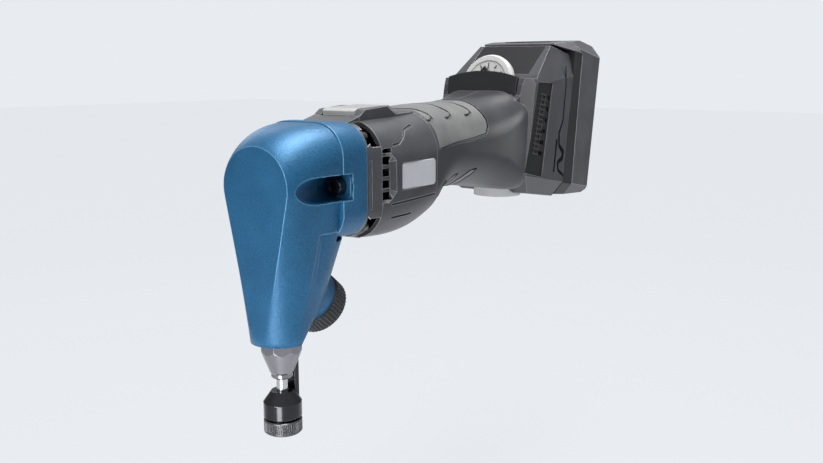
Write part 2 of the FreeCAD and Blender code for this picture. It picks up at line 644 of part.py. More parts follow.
def stator():
    ring = tube(STATOR_R, STATOR_R - 3.5, (66.0, 0, MOTOR_Z), (1, 0, 0), 32.0)
    teeth = []
    for i in range(9):
        tooth = box(66.0, 98.0, 10.2, STATOR_R - 3.0, -1.6, 1.6)
        coil = box(63.5, 100.5, 11.6, STATOR_R - 4.2, -2.6, 2.6)
        for part in (tooth, coil):
            part.rotate(V(0, 0, 0), V(1, 0, 0), 40 * i)
            part.translate(V(0, 0, MOTOR_Z))
            teeth.append(part)
    return ring.fuse(teeth)


def rotor():
    return tube(9.6, SHAFT_R, (65.0, 0, MOTOR_Z), (1, 0, 0), 34.0)


def vent_recess():
    """Sunk field of the air slots; its rear edge slopes up to the label panel."""
    low = [(50.5, 129.6), (57.9, 129.6), (64.6, 136.1), (64.1, 155.4), (56.9, 163.3), (50.5, 163.3)]
    high = [(50.5, 131.6), (55.6, 131.6), (60.2, 137.6), (59.8, 154.0), (54.6, 161.4), (50.5, 161.4)]
    wires = [Part.makePolygon([V(x, y, z) for x, z in points + points[:1]])
             for y, points in ((-37.2, low), (-33.1, high))]
    return Part.makeLoft(wires, True, True)


def motor_case():
    """Moulded case of the motor, open at the front, with the bearing wall at its rear."""
    outer = body_loft(CASE_SECTIONS)
    deck = prism_y([(53, 172), (53, 179.2), (100, 180.6), (106.6, 181.0), (106.6, 172)],
                   -DECK_HALF, DECK_HALF)
    cheek = prism_y([(52.2, 172), (52.2, 180.4), (57.5, 183.8), (79.0, 185.3), (92.5, 178.0),
                     (92.5, 172)], -DECK_HALF, -SWITCH_HALF - GAP)
    outer = outer.fuse(deck).fuse(both_sides(cheek))
    shell = outer.cut(body_loft(CASE_SECTIONS, WALL))
    bulkhead = box(BULKHEAD_X, CASE_X - 0.4, -60, 60, 0, 300).common(body_loft(CASE_SECTIONS))
    shell = shell.fuse(bulkhead.cut(cyl(8.0, (90, 0, MOTOR_Z), (1, 0, 0), 30)))
    # tube that holds the stator, on two webs
    holder = tube(STATOR_R + 2.0, STATOR_R + RUN, (66.0, 0, MOTOR_Z), (1, 0, 0), 34.0)
    webs = box(66.0, 100.0, -36, 36, MOTOR_Z - 8, MOTOR_Z - 5)
    webs = webs.fuse(box(66.0, 100.0, -1.5, 1.5, 105, MOTOR_Z))
    webs = webs.cut(cyl(STATOR_R + 1.0, (60, 0, MOTOR_Z), (1, 0, 0), 50)).common(outer)
    shell = shell.fuse(holder.common(outer)).fuse(webs)
    # well of the slide switch, and the channel of its rod
    shell = shell.cut(box(56.0, 100.0, -SWITCH_HALF - GAP, SWITCH_HALF + GAP, SWITCH_Z - 1.5, 190.0))
    shell = shell.cut(box(62.0, CASE_X + 1, -3.2, 3.2, ROD_Z - 0.3, SWITCH_Z))
    # air slots in their sunk field
    shell = shell.cut(both_sides(vent_recess()))
    for i in range(VENT_COUNT):
        z = VENT_Z + VENT_PITCH * i
        top = min(z + 4.7, 162.2)
        shell = shell.cut(both_sides(box(COLLAR_X + 1.2, COLLAR_X + 7.8, -60, -25, z, top)))
    # styling lines above and below the label panel
    lines = [[(61.6, 163.6), (68.0, 164.4), (74.0, 167.6), (79.0, 171.4), (90.0, 173.8)],
             [(58.6, 129.4), (75.9, 130.1), (106.0, 130.8)], [(61.0, 121.2), (80.0, 121.7)]]
    for points in lines:
        line = prism_y(ribbon(points, 1.2), -60, -8).cut(body_loft(CASE_SECTIONS, 0.7))
        shell = shell.cut(both_sides(line))
    seat = box(LABEL_X[0], LABEL_X[1], -60, -LABEL_Y, LABEL_Z[0], LABEL_Z[1])
    return shell.cut(both_sides(seat))


def label_plate():
    plate = box(LABEL_X[0] + 0.1, LABEL_X[1] - 0.1, -LABEL_Y - 0.8, -LABEL_Y,
                LABEL_Z[0] + 0.1, LABEL_Z[1] - 0.1)
    return both_sides(plate)


def slide_switch():
    slab = prism_y([(54.0, SWITCH_Z), (54.0, 183.0), (57.0, 184.6), (88.0, 185.6), (92.0, 184.0),
                    (92.0, SWITCH_Z)], -SWITCH_HALF, SWITCH_HALF)
    return slab.fuse(box(76.0, 79.0, -2.5, 2.5, ROD_Z, SWITCH_Z))


def switch_rod():
    rod = box(79.0, 133.0, -2.5, 2.5, ROD_Z, ROD_Z + 1.4)
    return rod.fuse(box(131.0, 133.0, -2.5, 2.5, ROD_Z - 4.0, ROD_Z))


def power_switch():
    block = box(134.0, 154.0, -8.0, 8.0, SHELF_Z + GAP, ROD_Z - 1.0)
    return block.fuse(box(133.2, 134.0, -1.5, 1.5, ROD_Z - 3.2, ROD_Z - 1.8))


# ---------------------------------------------------------------- handle
FOOT_OUTLINE = [(-79.7, 30.0), (-68.5, 5.0), (-42.0, -9.0), (0.0, -8.5), (0.0, 103.0),
                (-30.7, 104.5), (-55.7, 78.5), (-58.7, 74.6), (-71.9, 73.2), (-74.2, 68.0),
                (-75.2, 60.0), (-79.2, 54.0)]
CHANNEL = [(-57.3, 72.0), (-34.6, 75.0), (-37.6, 4.5), (-64.0, 5.5)]
RIB_LINE = [(-14.5, 91.6), (-11.1, 77.5), (-10.1, 50.5), (-14.9, 39.9), (-12.8, 30.8),
            (-4.3, 26.2), (-5.0, 21.4), (-12.4, 17.6), (-10.1, 11.6), (2.0, 7.7)]
PAD_OUTLINE = [(109.4, 158.2), (157.4, 160.6), (174.9, 162.9), (178.7, 168.1), (179.9, 173.4),
               (178.8, 182.0), (178.2, 300.0), (109.4, 300.0)]
GRIP_GROOVE = [(0.0, 10.0), (0.3, 0.5), (2.0, -1.1), (3.9, -3.2), (3.9, -5.2), (0.2, -6.8),
               (-5.8, -7.1)]
LEAF = [(0.0, 0.0), (-7.0, -0.9), (-11.6, -3.8), (-15.5, -7.7), (-17.0, -14.0), (-9.0, -14.0),
        (-6.2, -7.0), (-2.3, -4.0)]
LEAVES = [(126.5, 137.0, 0.72), (146.5, 139.2, 0.86), (167.5, 141.0, 1.0)]


def foot_solid():
    """Outside of the foot, in foot coordinates."""
    h = FOOT_HALF
    block = prism_y(FOOT_OUTLINE, -h, h)
    end = prism_x([(-h, 3), (-h + 9, -9.5), (h - 9, -9.5), (h, 3), (h, 120), (-h, 120)], -100, 10)
    plan = polygon([V(-84, 11.5 - h, -20), V(-75, 4.5 - h, -20), V(-62, -h, -20), V(0, -h, -20),
                    V(0, h, -20), V(-62, h, -20), V(-75, h - 4.5, -20), V(-84, h - 11.5, -20)])
    block = block.common(end).common(plan.extrude(V(0, 0, 140)))
    # large facet between the flank and the sloped panel, also along the roof
    facet = beyond(V(-54, 2.1 - h, 80.2), V(-32, 6.5 - h, 102.9), V(-31.6, -h, 78.0), V(0, 0, 40))
    return block.cut(both_sides(facet))


def foot_hollow():
    """Room for the electronics, with a passage to the grip."""
    h = FOOT_HALF - SIDE_WALL
    outline = [(-57.7, -5.0), (-13.7, -5.0), (-13.7, 98.0), (-29.5, 98.0), (-52.4, 74.5),
               (-57.7, 69.0)]
    ends = prism_x([(-h, 8), (-h + 10, -5), (h - 10, -5), (h, 8), (h, 70),
                    (h - 10, 100), (10 - h, 100), (-h, 70)], -80, 0)
    passage = box(-80.0, -55.0, -22.0, 22.0, 8.0, 42.0)
    return prism_y(outline, -h, h).common(ends).fuse(passage)


def rail_channel():
    """Undercut slot for the battery's rail, open at the top."""
    neck = box(-RAIL_NECK - 0.5, 2.0, -20.5, 20.5, 6.0, 130)
    wide = box(-RAIL_DEPTH - 0.5, -RAIL_NECK + 1.6, -24.5, 24.5, 6.0, 130)
    return neck.fuse(wide).fuse(box(-19.7, -7.7, -19.0, 19.0, 8.0, 26.0))


def slope_box(a0, a1, n0, n1, half):
    """Block laid on the sloped panel: a along it from its low end, n out of it."""
    along = SLOPE_HIGH - SLOPE_LOW
    along.normalize()
    out = V(-along.z, 0, along.x)
    corners = [SLOPE_LOW + along * a + out * n for a, n in ((a0, n0), (a1, n0), (a1, n1), (a0, n1))]
    return prism_y([(c.x, c.z) for c in corners], -half, half)


def dial_axis():
    a = math.radians(DIAL_LEAN)
    return V(-math.sin(a), 0, math.cos(a))


def dial_cut():
    """Slot that the speed dial turns in, and the bore of its stem."""
    axis = dial_axis()
    slot = Part.makeCylinder(DIAL_R + 0.8, DIAL_T + 1.4, DIAL_POS - axis * (DIAL_T / 2 + 0.7), axis)
    slot = slot.fuse(Part.makeCylinder(STEM_R + 0.1, 20, DIAL_POS - axis * 18, axis))
    return slot.fuse(Part.makeCylinder(POT_R + GAP, 7.0, DIAL_POS - axis * 18.5, axis))


def hood_outline(grow):
    """Lens-shaped face of the dial hood, across the tool: shallow arcs and short ends."""
    h = HOOD_HALF + grow
    z0, z1 = 61.4 - grow, 73.4 + grow
    top = Part.Arc(V(0, -h, z1), V(0, 0, z1 + 4.4), V(0, h, z1)).toShape()
    low = Part.Arc(V(0, h, z0), V(0, 0, z0 - 3.2), V(0, -h, z0)).toShape()
    right = Part.makeLine(V(0, h, z1), V(0, h, z0))
    left = Part.makeLine(V(0, -h, z0), V(0, -h, z1))
    return Part.Face(Part.Wire([top, right, low, left]))


def handle_shell():
    """Grip and foot in one, before it is split into its two halves."""
    outer = body_loft(HANDLE_SECTIONS).fuse(foot_frame(foot_solid()))
    inner = body_loft(HANDLE_SECTIONS, WALL).common(box(CASE_X - 1, 214, -60, 60, 0, 300))
    shell = outer.cut(inner.fuse(foot_frame(foot_hollow())))
    # shelf of the power switch and the bosses of the screws
    shelf = box(130.0, 158.0, -29.6, 29.6, SHELF_Z - 2.0, SHELF_Z)
    extras = [shelf]
    for x, z, y in HANDLE_SCREWS:
        extras.append(cyl(4.6, (x, -37, z), (0, 1, 0), 74))
    shell = shell.fuse([e.common(outer) for e in extras])
    for x, z, y in HANDLE_SCREWS:
        shell = shell.cut(cyl(1.9, (x, -24, z), (0, 1, 0), 60))
        shell = shell.cut(cyl(3.6, (x, y, z), (0, 1, 0), 40))
    shell = shell.cut(foot_frame(rail_channel()))
    # seats of the sloped cover, the dial, its hood, the soft pads and the side grilles
    shell = shell.cut(foot_frame(slope_box(0.5, 35.5, -COVER_T - 0.2, 9.0, COVER_HALF + GAP)))
    shell = shell.cut(foot_frame(slope_box(5.0, 31.0, -9.0, 0.0, COVER_HALF - 3.0)))
    shell = shell.cut(foot_frame(dial_cut()))
    hood = hood_outline(GAP).extrude(V(-6, 0, 0))
    hood.translate(V(HOOD_X + GAP, 0, 0))
    shell = shell.cut(foot_frame(hood))
    shell = shell.cut(top_pad_blank(GAP))
    shell = shell.cut(both_sides(side_pad_blank(GAP)))
    shell = shell.cut(foot_frame(both_sides(prism_y(CHANNEL, -60, -GRILLE_Y, GAP))))
    shell = shell.cut(foot_frame(both_sides(prism_y(CHANNEL, -60, -20, -2.5))))
    # moulded lines beside the battery
    lines = prism_y(ribbon(RIB_LINE, 0.9), -60, -FOOT_HALF + 1.0)
    lines = lines.fuse(box(-18.2, -17.0, -60, -FOOT_HALF + 2.0, 9.4, 35.0))
    return shell.cut(foot_frame(both_sides(lines)))


def handle_left():
    return half_of(handle_shell(), 1)


def handle_right():
    return half_of(handle_shell(), -1)


def handle_screws():
    return Part.makeCompound([socket_screw((x, y, z), (0, -1, 0), 1.9, 3.4, 3.2, y + 20)
                              for x, z, y in HANDLE_SCREWS])


def foot_cover():
    """Dark panel on the slope between the dial and the battery."""
    plate = slope_box(0.8, 35.2, -COVER_T, 3.0, COVER_HALF)
    plug = slope_box(5.3, 30.7, -COVER_T - 1.2, -COVER_T + 0.1, COVER_HALF - 3.3)
    return foot_frame(plate.common(foot_solid()).fuse(plug))


def dial_hood():
    """Lens-shaped cover in front of the dial, with its pointer."""
    plate = hood_outline(0.0).extrude(V(-HOOD_T, 0, 0))
    pointer = prism_x([(-5.0, 76.0), (5.0, 76.0), (0.0, 81.8)], -1.6, 0.0)
    hood = plate.fuse(pointer)
    hood.translate(V(HOOD_X, 0, 0))
    return foot_frame(hood)


def speed_dial():
    """Wheel of the speed setting, on a stem that turns the potentiometer."""
    axis = dial_axis()
    start = DIAL_POS - axis * (DIAL_T / 2)
    wheel = turned([(0, 0), (DIAL_R, 0), (DIAL_R, DIAL_T - 2.2), (DIAL_R - 1.6, DIAL_T),
                    (DIAL_R - 5.0, DIAL_T), (DIAL_R - 5.6, DIAL_T - 0.8), (0, DIAL_T - 0.8)],
                   (start.x, 0, start.z), (axis.x, 0, axis.z))
    return foot_frame(wheel.fuse(Part.makeCylinder(STEM_R, 9.0, start - axis * 9.0, axis)))


def speed_pot():
    """Potentiometer that the dial turns, inside the foot."""
    axis = dial_axis()
    body = Part.makeCylinder(POT_R, 5.0, DIAL_POS - axis * 17.0, axis)
    return foot_frame(body.cut(Part.makeCylinder(STEM_R + RUN, 9.0, DIAL_POS - axis * 14.0, axis)))


def top_pad_blank(grow):
    zone = prism_y(PAD_OUTLINE, -60, 60, grow)
    return body_loft(HANDLE_SECTIONS).common(zone).cut(
        body_loft(HANDLE_SECTIONS, PAD_T + grow * 0.7))


def top_pad():
    """Soft pad over the grip, with three grooves that hook forwards on the flanks."""
    pad = top_pad_blank(0.0)
    floor = body_loft(HANDLE_SECTIONS, 0.8)
    for i in range(3):
        points = [(x + 112.4 + 25.6 * i, z + 182.0 + 0.8 * i) for x, z in GRIP_GROOVE]
        pad = pad.cut(prism_y(ribbon(points, 1.3), -60, 60).cut(floor))
    return pad


def side_pad_blank(grow):
    """Three leaf-shaped soft pads under one flank of the grip."""
    zones = [prism_y([(x + u * size, z + v * size) for u, v in LEAF], -60, -8, grow)
             for x, z, size in LEAVES]
    zone = zones[0].fuse(zones[1:])
    return body_loft(HANDLE_SECTIONS).cut(body_loft(HANDLE_SECTIONS, 1.4 + grow)).common(zone)


def side_pads():
    return both_sides(side_pad_blank(0.0))


def side_grilles():
    """Sunk air grilles in both flanks of the foot."""
    plate = prism_y(CHANNEL, -GRILLE_Y - 1.3, -GRILLE_Y)
    for i in range(6):
        z = 20.0 + 8.4 * i
        x = -50.4 + 0.11 * z
        plate = plate.cut(box(x, x + 9.0, -60, 0, z, z + 3.2))
    return foot_frame(both_sides(plate))


def rest_pad():
    """Round pad under the foot, which the tool is laid down on."""
    pad = cyl(REST_R, REST_POS, (0, 0, 1), 14.0)
    pad = pad.cut(foot_frame(prism_y(FOOT_OUTLINE, -50, 50, GAP)))
    return pad.cut(body_loft(HANDLE_SECTIONS, -GAP))


# ---------------------------------------------------------------- battery
def battery_case():
    """Front half of the battery with its undercut rail."""
    block = prism_y([(GAP, -7.0), (SPLIT_LOW, -6.0), (SPLIT_HIGH, RAIL_TOP), (GAP, RAIL_TOP)],
                    -BATTERY_HALF + 0.4, BATTERY_HALF - 0.4)
    hollow = box(GAP + BATTERY_WALL, 60, -BATTERY_HALF + 3.4, BATTERY_HALF - 3.4, BATTERY_WALL,
                 RAIL_TOP - BATTERY_WALL)
    h = BATTERY_HALF
    end = prism_x([(-h, 3), (-h + 9, -9.5), (h - 9, -9.5), (h, 3), (h, 120), (-h, 120)], -1, 60)
    case = block.common(end).cut(hollow)
    case = case.fuse(box(-RAIL_NECK, GAP + 1, -20.0, 20.0, 6.5, RAIL_TOP))
    case = case.fuse(box(-RAIL_DEPTH, -RAIL_NECK + 1.3, -24.0, 24.0, 6.5, RAIL_TOP))
    case = case.cut(tab_slot())
    for y in BLADES:
        case = case.cut(box(-RAIL_DEPTH - 1, -RAIL_NECK - 0.5, y - 0.8, y + 0.8, 6.0, 26.0))
    return foot_frame(case)


def battery_cover():
    """Rear half of the battery, which also makes its roof."""
    back, top = BATTERY_BACK, BATTERY_TOP
    cover = prism_y([(SPLIT_LOW + GAP, -6.0), (back - 7, -2.5), (back, 4.0), (back - 2, top - 12),
                     (back - 9, top), (back - 34, top), (-5.0, top - 5.2), (LIP_X, RAIL_TOP + 1.6),
                     (LIP_X, RAIL_TOP + GAP), (SPLIT_HIGH + GAP, RAIL_TOP + GAP)],
                    -BATTERY_HALF, BATTERY_HALF)
    h = BATTERY_HALF
    end = prism_x([(-h, 3), (-h + 9, -9.5), (h - 9, -9.5), (h, 3), (h, top - 9), (h - 7, top + 1),
                   (-h + 7, top + 1), (-h, top - 9)], LIP_X - 1, back + 1)
    cover = cover.common(end)
    plan = polygon([V(LIP_X, -h + 7, -20), V(8, -h, -20), V(back - 5, -h, -20), V(back, -h + 6, -20),
                    V(back, h - 6, -20), V(back - 5, h, -20), V(8, h, -20), V(LIP_X, h - 7, -20)])
    cover = cover.common(plan.extrude(V(0, 0, 160)))
    cover = cover.cut(box(0, back - BATTERY_WALL, -h + 3, h - 3, BATTERY_WALL,
                          RAIL_TOP - BATTERY_WALL))
    return foot_frame(cover.cut(button_blank(GAP)).cut(tab_slot()))


def tab_slot():
    """Slot through both halves for the release button's tab."""
    return box(BUTTON_X + 16, BUTTON_X + 19, -12, 12, RAIL_TOP - 10, RAIL_TOP + 8)


def button_blank(grow):
    """Block of the release button in the battery's roof."""
    return box(BUTTON_X - grow, BUTTON_X + 22 + grow, -19 - grow, 19 + grow,
               RAIL_TOP + 2.4 - 10 * grow, BATTERY_TOP + 5)


def release_button():
    """Sprung button that frees the battery; its tab reaches down to the latch."""
    roof = prism_y([(BUTTON_X, RAIL_TOP + 2.6), (BUTTON_X + 22, RAIL_TOP + 2.6),
                    (BUTTON_X + 22, BATTERY_TOP - 1.6), (BUTTON_X, BATTERY_TOP - 6.6)], -19, 19)
    return foot_frame(roof.fuse(box(BUTTON_X + 16.4, BUTTON_X + 18.6, -11.5, 11.5,
                                    RAIL_TOP - 5.0, RAIL_TOP + 3)))


def cell_places():
    """Centres (x, z) of the cells, in foot coordinates."""
    return [(BATTERY_BACK - BATTERY_WALL - CELL_PITCH * (0.5 + j), CELL_Z + CELL_PITCH * i)
            for i in range(CELL_ROWS) for j in range(2)]


def battery_cells():
    cells = [cyl(CELL_R, (x, -CELL_LENGTH / 2, z), (0, 1, 0), CELL_LENGTH)
             for x, z in cell_places()]
    return foot_frame(Part.makeCompound(cells))


def cell_frames():
    """Two plates that hold the ends of the cells."""
    back = BATTERY_BACK - BATTERY_WALL - GAP
    plate = box(back - 2 * CELL_PITCH + 0.6, back, -CELL_LENGTH / 2 - 1.8, -CELL_LENGTH / 2 + 3.0,
                BATTERY_WALL + GAP, CELL_Z + CELL_PITCH * (CELL_ROWS - 0.5))
    for x, z in cell_places():
        plate = plate.cut(cyl(CELL_R + RUN, (x, -60, z), (0, 1, 0), 120))
    return foot_frame(both_sides(plate))


def battery_board():
    x = GAP + BATTERY_WALL + GAP
    return foot_frame(box(x, x + 1.6, -BATTERY_HALF + 4.0, BATTERY_HALF - 4.0, BATTERY_WALL + 1.0,
                          RAIL_TOP - 14.0))


def terminal_block():
    """Contacts that the battery's slots slide over."""
    block = box(-19.0, -11.7, -18.0, 18.0, 9.0, 24.0)
    blades = [box(-12.0, -RAIL_NECK - 1.0, y - 0.4, y + 0.4, 10.0, 22.0) for y in BLADES]
    return foot_frame(block.fuse(blades))


def controller_board():
    half = FOOT_HALF - SIDE_WALL - 0.5
    board = box(-55.0, -21.0, -half, half, 34.0, 35.6)
    return foot_frame(board.fuse(box(-51.0, -27.0, -20.0, 20.0, 35.6, 42.0)))


# ---------------------------------------------------------------- output
PIECES = [gear_head, head_flange, head_screws, crank_shaft, crank_gear, con_rod,
          eccentric_bearing, wrist_pin, crank_bearings, ram, punch, guide_sleeve,
          die_carrier, die, lock_ring, clamp_knob, clamp_bolt,
          collar, gearbox_plate, collar_screws, motor_shaft, pinion, motor_bearings, fan,
          stator, rotor, motor_case, label_plate, slide_switch, switch_rod, power_switch,
          handle_left, handle_right, handle_screws, foot_cover, dial_hood, speed_dial, speed_pot,
          top_pad, side_pads, side_grilles, rest_pad, terminal_block, controller_board,
          battery_case, battery_cover, release_button, battery_cells, cell_frames, battery_board]
for piece in PIECES:
    save(piece.__name__, piece())
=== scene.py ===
"""Looks of the cordless nibbler, piece by piece as it is put together. Lengths in metres."""
import json
import math

import bmesh
import bpy
import numpy as np
from mathutils import Matrix, Vector
from mathutils.bvhtree import BVHTree


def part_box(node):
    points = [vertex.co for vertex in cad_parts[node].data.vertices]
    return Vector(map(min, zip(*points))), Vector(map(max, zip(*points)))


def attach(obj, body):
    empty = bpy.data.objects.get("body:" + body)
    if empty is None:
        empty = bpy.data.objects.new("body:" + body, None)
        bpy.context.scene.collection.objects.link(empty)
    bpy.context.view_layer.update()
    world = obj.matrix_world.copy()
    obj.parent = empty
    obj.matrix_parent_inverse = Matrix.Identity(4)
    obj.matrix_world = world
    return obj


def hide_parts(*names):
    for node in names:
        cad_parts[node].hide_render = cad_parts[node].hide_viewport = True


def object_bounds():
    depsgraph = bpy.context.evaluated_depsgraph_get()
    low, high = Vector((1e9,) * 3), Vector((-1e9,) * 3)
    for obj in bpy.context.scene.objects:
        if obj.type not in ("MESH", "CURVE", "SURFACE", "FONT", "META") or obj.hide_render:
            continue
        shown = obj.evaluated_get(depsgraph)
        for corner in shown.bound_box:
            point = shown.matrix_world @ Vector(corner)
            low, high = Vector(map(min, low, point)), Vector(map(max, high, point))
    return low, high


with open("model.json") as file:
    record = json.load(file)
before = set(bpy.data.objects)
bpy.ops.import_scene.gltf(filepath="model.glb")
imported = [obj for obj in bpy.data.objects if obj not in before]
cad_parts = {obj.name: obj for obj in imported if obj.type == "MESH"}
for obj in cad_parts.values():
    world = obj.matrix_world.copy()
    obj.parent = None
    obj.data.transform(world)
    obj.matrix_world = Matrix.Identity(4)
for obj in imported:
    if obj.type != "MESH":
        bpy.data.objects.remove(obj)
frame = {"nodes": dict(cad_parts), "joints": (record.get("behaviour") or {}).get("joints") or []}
cad_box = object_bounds()
nodes = frame["nodes"]

# ---------------------------------------------------------------- gear head and its flange
# The head is a die-cast aluminium housing, and the flange is the ring that closes it at the
# back. Both are sprayed with a blue structured paint, which dries in fine wrinkles: it breaks
# highlights into sparkling grain. A painted highlight makes it paler along the rounded edges,
# and painted shade darkens its grooves.
MM = 0.001


def srgb(code):
    """Linear colour of an sRGB hex code."""
    c = np.array([int(code[i:i + 2], 16) / 255 for i in (0, 2, 4)])
    linear = np.where(c <= 0.04045, c / 12.92, ((c + 0.055) / 1.055) ** 2.4)
    return (*linear.tolist(), 1.0)


def add(tree, kind, inputs=None, **settings):
    """Adds a node. Inputs are constants or (node, output) pairs; the rest are its settings."""
    n = tree.nodes.new("ShaderNode" + kind)
    for key, value in settings.items():
        setattr(n, key, value)
    for key, value in (inputs or {}).items():
        if isinstance(value, tuple) and isinstance(value[0], bpy.types.Node):
            tree.links.new(value[0].outputs[value[1]], n.inputs[key])
        else:
            n.inputs[key].default_value = value
    return n


def empty_material(name):
    m = bpy.data.materials.new(name)
    m.use_nodes = True
    m.node_tree.nodes.clear()
    return m, m.node_tree


def paint_light_and_shade(tree, colour, rounded, edge_tone, edge_part, groove_part, lean=0.03):
    """Colour with painted light: edges painted in the edge tone, mostly paler as a painted
    highlight, and grooves painted darker as painted shade. A point lies on an edge where the
    rounded normal leans away from the true one, and in a groove where little sky is open to it."""
    true = add(tree, "NewGeometry")
    along = add(tree, "VectorMath", {0: (rounded, "Normal"), 1: (true, "Normal")},
                operation="DOT_PRODUCT")
    edge = add(tree, "MapRange", {"Value": (along, "Value"), "From Min": 1.0 - lean,
                                  "From Max": 0.998, "To Min": edge_part, "To Max": 0.0})
    open_sky = add(tree, "AmbientOcclusion", {"Distance": 2.0 * MM}, samples=6, only_local=True)
    proud = add(tree, "MapRange", {"Value": (open_sky, "AO"), "From Min": 0.75, "From Max": 0.97})
    deep = add(tree, "MapRange", {"Value": (open_sky, "AO"), "From Min": 0.35, "From Max": 0.9,
                                  "To Min": groove_part, "To Max": 0.0})
    # share of the edge tone on open edges: a painted highlight, or painted shade where the tone
    # is dark
    painted_edge_share = add(tree, "Math", {0: (edge, "Result"), 1: (proud, "Result")}, operation="MULTIPLY")
    paler = add(tree, "Mix", {"Factor": (painted_edge_share, "Value"), "A": (colour, "Result"),
                              "B": srgb(edge_tone)}, data_type="RGBA")
    # grooves painted near black: painted shade
    return add(tree, "Mix", {"Factor": (deep, "Result"), "A": (paler, "Result"),
                             "B": srgb("08080a")}, data_type="RGBA")


def structured_paint(name="blue_structured_paint"):
    m, t = empty_material(name)
    place = add(t, "TexCoord")
    # wrinkles of the paint are about 0.8 mm across
    wrinkle = add(t, "TexNoise", {"Vector": (place, "Object"), "Scale": 1 / (0.8 * MM),
                                  "Detail": 2.0, "Roughness": 0.6})
    cloud = add(t, "TexNoise", {"Vector": (place, "Object"), "Scale": 1 / (25 * MM),
                                "Detail": 2.0})
    tone = add(t, "Mix", {"Factor": 0.35, "A": (wrinkle, "Fac"), "B": (cloud, "Fac")})
    spread = add(t, "MapRange", {"Value": (tone, "Result"), "From Min": 0.35, "From Max": 0.65})
    body = add(t, "Mix", {"Factor": (spread, "Result"), "A": srgb("104a70"),
                          "B": srgb("276890")}, data_type="RGBA")
    # the crest between face and flank is crisp at the top and fades out towards the nose
    level = add(t, "SeparateXYZ", {"Vector": (place, "Object")})
    softness = add(t, "MapRange", {"Value": (level, "Z"), "From Min": 72 * MM,
                                   "From Max": 112 * MM, "To Min": 7 * MM, "To Max": MM})
    rounded = add(t, "Bevel", {"Radius": (softness, "Result")}, samples=8)
    crisp = add(t, "Bevel", {"Radius": 0.8 * MM}, samples=4)
    # pale blue edges are a painted highlight and dark grooves painted shade; both fade out
    # towards the nose
    painted_light_colour = paint_light_and_shade(t, body, crisp, "86bce2", 0.6, 0.7, 0.02)
    fade = add(t, "MapRange", {"Value": (level, "Z"), "From Min": 80 * MM,
                               "From Max": 100 * MM})
    colour = add(t, "Mix", {"Factor": (fade, "Result"), "A": (body, "Result"),
                            "B": (painted_light_colour, "Result")}, data_type="RGBA")
    relief = add(t, "Bump", {"Height": (wrinkle, "Fac"), "Strength": 1.0,
                             "Distance": 0.2 * MM, "Normal": (rounded, "Normal")})
    shader = add(t, "BsdfPrincipled", {"Base Color": (colour, "Result"), "Metallic": 0.35,
                                       "Roughness": 0.4, "IOR": 1.5,
                                       "Normal": (relief, "Normal")})
    add(t, "OutputMaterial", {"Surface": (shader, "BSDF")})
    return m


def finish_nodes(material, *names):
    for name in names:
        mesh = nodes[name].data
        mesh.materials.clear()
        mesh.materials.append(material)


finish_nodes(structured_paint(), "gear_head", "head_flange")

# ---------------------------------------------------------------- drive inside the head
# Crank shaft, its gear, the connecting rod, bearings and ram are case-hardened steel,
# ground where they run. They are closed in and wear a film of grease.


def machined_steel(name, dark, light, rough, groove_mm, bump, edge_tone="d0d2d4",
                   along=(1.0, 1.0, 14.0)):
    """Steel with fine tool marks that run round the piece: noise squeezed along one axis."""
    m, t = empty_material(name)
    place = add(t, "TexCoord")
    squeeze = add(t, "Mapping", {"Vector": (place, "Object"), "Scale": along})
    marks = add(t, "TexNoise", {"Vector": (squeeze, "Vector"),
                                "Scale": 1 / (groove_mm * MM) / max(along), "Detail": 3.0})
    film = add(t, "TexNoise", {"Vector": (place, "Object"), "Scale": 1 / (6 * MM),
                               "Detail": 3.0})
    tone = add(t, "Mix", {"Factor": 0.5, "A": (marks, "Fac"), "B": (film, "Fac")})
    body = add(t, "Mix", {"Factor": (tone, "Result"), "A": srgb(dark), "B": srgb(light)},
               data_type="RGBA")
    gloss = add(t, "MapRange", {"Value": (film, "Fac"), "To Min": rough - 0.03,
                                "To Max": rough + 0.05})
    rounded = add(t, "Bevel", {"Radius": 0.3 * MM}, samples=4)
    # edges painted paler as a highlight, grooves painted darker as shade
    colour = paint_light_and_shade(t, body, rounded, edge_tone, 0.5, 0.8)
    relief = add(t, "Bump", {"Height": (marks, "Fac"), "Strength": bump, "Distance": 0.05 * MM,
                             "Normal": (rounded, "Normal")})
    shader = add(t, "BsdfPrincipled", {"Base Color": (colour, "Result"), "Metallic": 1.0,
                                       "Roughness": (gloss, "Result"),
                                       "Normal": (relief, "Normal")})
    add(t, "OutputMaterial", {"Surface": (shader, "BSDF")})
    return m


ground = machined_steel("ground_hardened_steel", "85878a", "b4b6b8", 0.3, 0.25, 0.15)
finish_nodes(ground, "crank_shaft", "crank_gear", "con_rod", "eccentric_bearing", "wrist_pin",
             "crank_bearings", "ram", "clamp_bolt")

# ---------------------------------------------------------------- guide sleeve and punch
# The sleeve is turned from tool steel, milled with flats on its cone and polished, and the
# punch that runs in it is ground bright. Both mirror the room in soft grey.
finish_nodes(machined_steel("polished_tool_steel", "757377", "8f8d91", 0.12, 0.3, 0.02),
             "guide_sleeve")
finish_nodes(machined_steel("bright_ground_punch_steel", "a6a8aa", "c4c6c8", 0.14, 0.2, 0.03),
             "punch")

# ---------------------------------------------------------------- die carrier and die
# The carrier is hardened and left dark from the oil bath, then polished on its barrel, so it
# reflects like dark glass. The die is pressed into it.
finish_nodes(machined_steel("oil_hardened_dark_steel", "28282a", "454548", 0.16, 0.3, 0.03,
                            "8c8c90"),
             "die_carrier", "die")

# ---------------------------------------------------------------- lock ring of the die
# A steel ring with a straight knurl, turned by hand. Its teeth are painted grey as a highlight,
# and the hollows between them painted darker as shade.
finish_nodes(machined_steel("knurled_ring_steel", "3f3f41", "68686a", 0.3, 0.3, 0.1, "a0a0a2"),
             "lock_ring")

# ---------------------------------------------------------------- clamping knob
# Moulded from black glass-filled nylon with deep finger ribs, on a steel screw. The fibres
# leave a fine matt grain.


